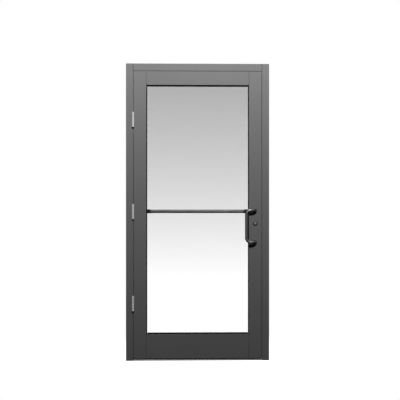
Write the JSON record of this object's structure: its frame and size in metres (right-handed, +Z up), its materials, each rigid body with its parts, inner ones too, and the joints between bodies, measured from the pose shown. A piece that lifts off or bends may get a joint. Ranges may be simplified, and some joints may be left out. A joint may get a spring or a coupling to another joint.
{
  "type": "glass door",
  "caption": "Outward-swinging aluminium door leaf with one full-height double pane, in its frame, with butt hinges, a bent pull, an inside push bar and a dead bolt.",
  "frame": {"origin": "middle of the underside of the threshold, at mid depth of the frame", "axes": "+X to the right seen from outside, +Y from outside to inside, +Z up"},
  "size_m": [1.016, 0.182, 2.106],
  "materials": {
    "frame_coat": "satin powder coat",
    "leaf_coat": "satin powder coat",
    "threshold_metal": "extruded, lightly brushed",
    "inner_metal": "as extruded",
    "plain_steel": "zinc plated",
    "hinge_steel": "satin",
    "lock_steel": "satin",
    "cylinder_metal": "dark satin plate",
    "handle_coat": "satin black",
    "bar_coat": "satin black",
    "seal_rubber": "matte",
    "gasket_rubber": "matte",
    "pane_glass": "polished float glass"
  },
  "bodies": {
    "frame": {"hinge_jamb": "frame_coat", "strike_jamb": "frame_coat", "head": "frame_coat", "head_clips": "inner_metal", "head_screws": "plain_steel", "threshold": "threshold_metal", "hinge_jamb_stop": "frame_coat", "strike_jamb_stop": "frame_coat", "head_stop": "frame_coat", "hinge_jamb_seal": "seal_rubber", "strike_jamb_seal": "seal_rubber", "head_seal": "seal_rubber", "strike_plate": "lock_steel", "jamb_backing": "plain_steel", "top_hinge_jamb_leaf": "hinge_steel", "top_hinge_pin": "hinge_steel", "middle_hinge_jamb_leaf": "hinge_steel", "middle_hinge_pin": "hinge_steel", "bottom_hinge_jamb_leaf": "hinge_steel", "bottom_hinge_pin": "hinge_steel"},
    "leaf": {"hinge_stile": "leaf_coat", "lock_stile": "leaf_coat", "top_rail": "leaf_coat", "bottom_rail": "leaf_coat", "corner_blocks": "inner_metal", "tie_rods": "plain_steel", "tie_rod_nuts": "plain_steel", "top_hinge_door_leaf": "hinge_steel", "middle_hinge_door_leaf": "hinge_steel", "bottom_hinge_door_leaf": "hinge_steel", "stile_backing": "plain_steel", "outer_pane": "pane_glass", "inner_pane": "pane_glass", "pane_spacer": "inner_metal", "setting_blocks": "gasket_rubber", "outer_gaskets": "gasket_rubber", "inner_gaskets": "gasket_rubber", "top_bead": "leaf_coat", "bottom_bead": "leaf_coat", "hinge_side_bead": "leaf_coat", "lock_side_bead": "leaf_coat", "pull_handle": "handle_coat", "handle_bolts": "plain_steel", "push_bar": "bar_coat", "push_bar_brackets": "bar_coat", "lock_case": "plain_steel", "lock_front": "lock_steel", "outer_cylinder": "cylinder_metal", "inner_cylinder": "cylinder_metal", "cylinder_collar": "cylinder_metal", "turn_rose": "cylinder_metal", "sweep_carrier": "leaf_coat", "sweep_blade": "seal_rubber"},
    "key": {"key_plug": "cylinder_metal"},
    "turn": {"thumb_turn": "cylinder_metal", "bolt_lever": "plain_steel"},
    "bolt": {"dead_bolt": "lock_steel"}
  },
  "joints": [
    {"name": "door_swing", "type": "hinge", "parent": "frame", "child": "leaf", "pos_m": [-0.45735, -0.065, 1.053], "axis": [0, 0, -1], "range_deg": [0, 175]},
    {"name": "key_turn", "type": "hinge", "parent": "leaf", "child": "key", "pos_m": [0.4085, -0.057, 0.97297], "axis": [0, -1, 0], "range_deg": [-90, 90]},
    {"name": "thumb_turn", "type": "hinge", "parent": "leaf", "child": "turn", "pos_m": [0.4085, -0.0125, 0.97297], "axis": [0, -1, 0], "range_deg": [0, 90]},
    {"name": "bolt_throw", "type": "slide", "parent": "leaf", "child": "bolt", "axis": [1, 0, 0], "range_m": [0, 0.0256]}
  ],
  "couplings": [
    {"joint": "bolt_throw", "follows": "thumb_turn", "m_per_rad": 0.016206}
  ]
}
